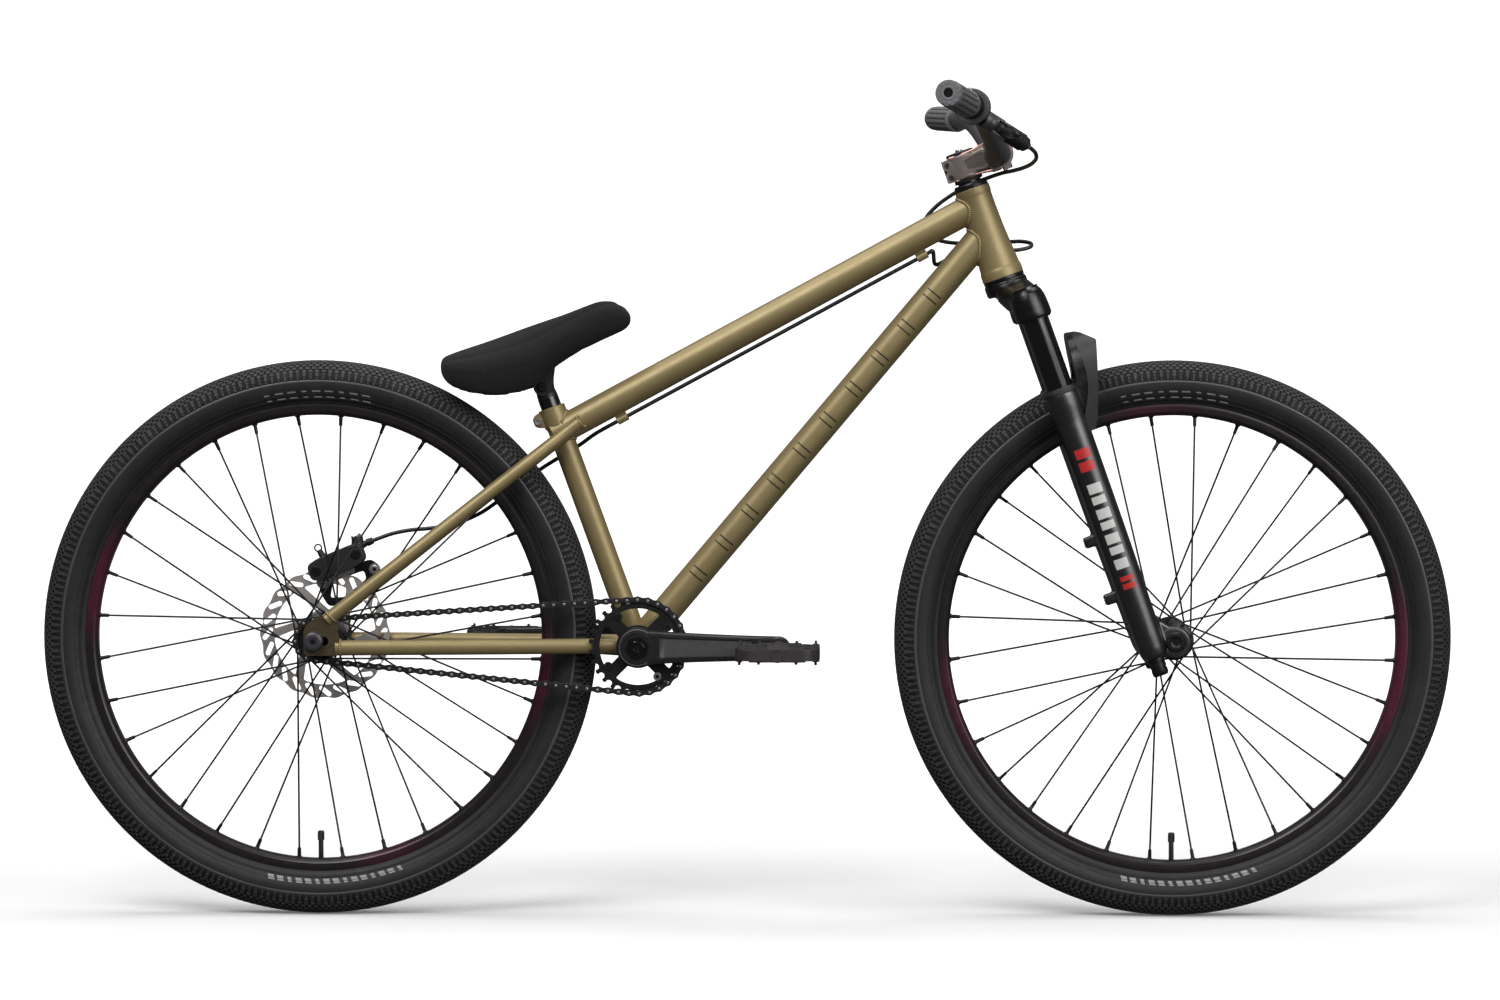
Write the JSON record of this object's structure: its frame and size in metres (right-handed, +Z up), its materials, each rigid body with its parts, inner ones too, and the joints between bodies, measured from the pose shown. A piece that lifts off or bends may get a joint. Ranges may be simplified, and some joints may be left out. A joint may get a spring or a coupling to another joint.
{
  "type": "dirt jump bike",
  "caption": "Small-framed jump bike with a suspension fork, riser handlebar, low sloping saddle, single-speed chain drive, knobby tyres and a rear disc brake.",
  "frame": {"origin": "on the ground under the middle of the wheelbase, in the centre plane of the wheels", "axes": "+X forward along the wheelbase, +Y to the rider's left, +Z up"},
  "size_m": [1.709, 0.7748, 0.9952],
  "materials": {
    "frame_paint": "satin metallic bronze",
    "black_alloy": "satin black",
    "stem_alloy": "satin dark grey",
    "fork_black": "gloss black",
    "spoke_black": "satin black",
    "steel": "brushed",
    "tyre_rubber": "matte",
    "grip_rubber": "matte ribbed",
    "hose_plastic": "matte",
    "saddle_plastic": "matte",
    "saddle_fabric": "coarse weave",
    "pad_compound": "matte"
  },
  "bodies": {
    "frame": {"head_tube": "frame_paint", "headset_upper_cup": "black_alloy", "headset_lower_cup": "black_alloy", "seat_tube": "frame_paint", "seat_clamp_bolt": "steel", "top_tube": "frame_paint", "down_tube": "frame_paint", "bb_shell": "frame_paint", "bb_cup_right": "black_alloy", "bb_cup_left": "black_alloy", "dropout_right": "frame_paint", "dropout_left": "frame_paint", "chainstay_right": "frame_paint", "chainstay_left": "frame_paint", "seatstay_right": "frame_paint", "seatstay_left": "frame_paint", "rear_axle": "black_alloy", "chain": "steel", "brake_caliper": "black_alloy", "hose_rear": "hose_plastic"},
    "seatpost": {"seatpost": "black_alloy"},
    "saddle": {"saddle_base": "saddle_plastic", "saddle_cover": "saddle_fabric", "saddle_bolt": "steel"},
    "fork_upper": {"steerer_crown": "fork_black", "stanchion_right": "fork_black", "stanchion_left": "fork_black", "stem_body": "stem_alloy", "stem_faceplate": "stem_alloy", "headset_top_cap": "black_alloy", "handlebar": "black_alloy", "grip_right": "grip_rubber", "grip_left": "grip_rubber", "brake_master": "black_alloy", "hose_front": "hose_plastic"},
    "brake_lever": {"brake_lever": "black_alloy"},
    "fork_lower": {"fork_lowers": "fork_black", "front_axle": "black_alloy"},
    "front_wheel": {"front_tyre": "tyre_rubber", "front_rim": "black_alloy", "front_spokes_right": "spoke_black", "front_spokes_left": "spoke_black", "front_hub": "black_alloy"},
    "rear_wheel": {"rear_tyre": "tyre_rubber", "rear_rim": "black_alloy", "rear_spokes_right": "spoke_black", "rear_spokes_left": "spoke_black", "rear_hub": "black_alloy", "brake_rotor": "steel"},
    "cog": {"rear_cog": "steel"},
    "crank": {"crank_arm_right": "black_alloy", "crank_arm_left": "black_alloy", "chainring": "black_alloy", "crank_spindle": "steel", "pedal_axle_right": "steel", "pedal_axle_left": "steel"},
    "pedal_right": {"pedal_right": "black_alloy"},
    "pedal_left": {"pedal_left": "black_alloy"},
    "pad_inner": {"brake_pad_inner": "pad_compound"},
    "pad_outer": {"brake_pad_outer": "pad_compound"}
  },
  "joints": [
    {"name": "steering", "type": "hinge", "parent": "frame", "child": "fork_upper", "pos_m": [0.29306, 0, 0.8277], "axis": [-0.3371, 0, 0.9415], "range_deg": [-80, 80], "deforming": ["hose_front"]},
    {"name": "fork_travel", "type": "slide", "parent": "fork_upper", "child": "fork_lower", "axis": [-0.3371, 0, 0.9415], "range_m": [0, 0.08], "stiffness_N_per_m": 6000, "springref_m": -0.01},
    {"name": "front_wheel_spin", "type": "hinge", "parent": "fork_lower", "child": "front_wheel", "pos_m": [0.5175, 0, 0.337], "axis": [0, 1, 0], "continuous": true},
    {"name": "rear_wheel_spin", "type": "hinge", "parent": "frame", "child": "rear_wheel", "pos_m": [-0.5175, 0, 0.337], "axis": [0, 1, 0], "continuous": true},
    {"name": "crank_spin", "type": "hinge", "parent": "frame", "child": "crank", "pos_m": [-0.1284, 0, 0.3295], "axis": [0, 1, 0], "continuous": true},
    {"name": "cog_spin", "type": "hinge", "parent": "frame", "child": "cog", "pos_m": [-0.5175, 0, 0.337], "axis": [0, 1, 0], "continuous": true},
    {"name": "pedal_right_spin", "type": "hinge", "parent": "crank", "child": "pedal_right", "pos_m": [0.0416, 0, 0.3295], "axis": [0, 1, 0], "continuous": true},
    {"name": "pedal_left_spin", "type": "hinge", "parent": "crank", "child": "pedal_left", "pos_m": [-0.2984, 0, 0.3295], "axis": [0, 1, 0], "continuous": true},
    {"name": "seatpost_height", "type": "slide", "parent": "frame", "child": "seatpost", "axis": [-0.3425, 0, 0.9395], "range_m": [0, 0.08]},
    {"name": "saddle_tilt", "type": "hinge", "parent": "seatpost", "child": "saddle", "pos_m": [-0.24455, 0, 0.64207], "axis": [0, 1, 0], "range_deg": [-4, 10]},
    {"name": "lever_pull", "type": "hinge", "parent": "fork_upper", "child": "brake_lever", "pos_m": [0.303, -0.222, 0.9445], "axis": [-0.5862, 0, -0.8102], "range_deg": [0, 18], "stiffness_Nm_per_rad": 1, "springref_deg": -8.59},
    {"name": "pad_inner_slide", "type": "slide", "parent": "frame", "child": "pad_inner", "axis": [0, 1, 0], "range_m": [0, 0.0006]},
    {"name": "pad_outer_slide", "type": "slide", "parent": "frame", "child": "pad_outer", "axis": [0, -1, 0], "range_m": [0, 0.0006]}
  ],
  "couplings": [
    {"joint": "cog_spin", "follows": "crank_spin", "ratio": 2.3333},
    {"joint": "pad_inner_slide", "follows": "lever_pull", "m_per_rad": 0.0019},
    {"joint": "pad_outer_slide", "follows": "lever_pull", "m_per_rad": 0.0019}
  ]
}
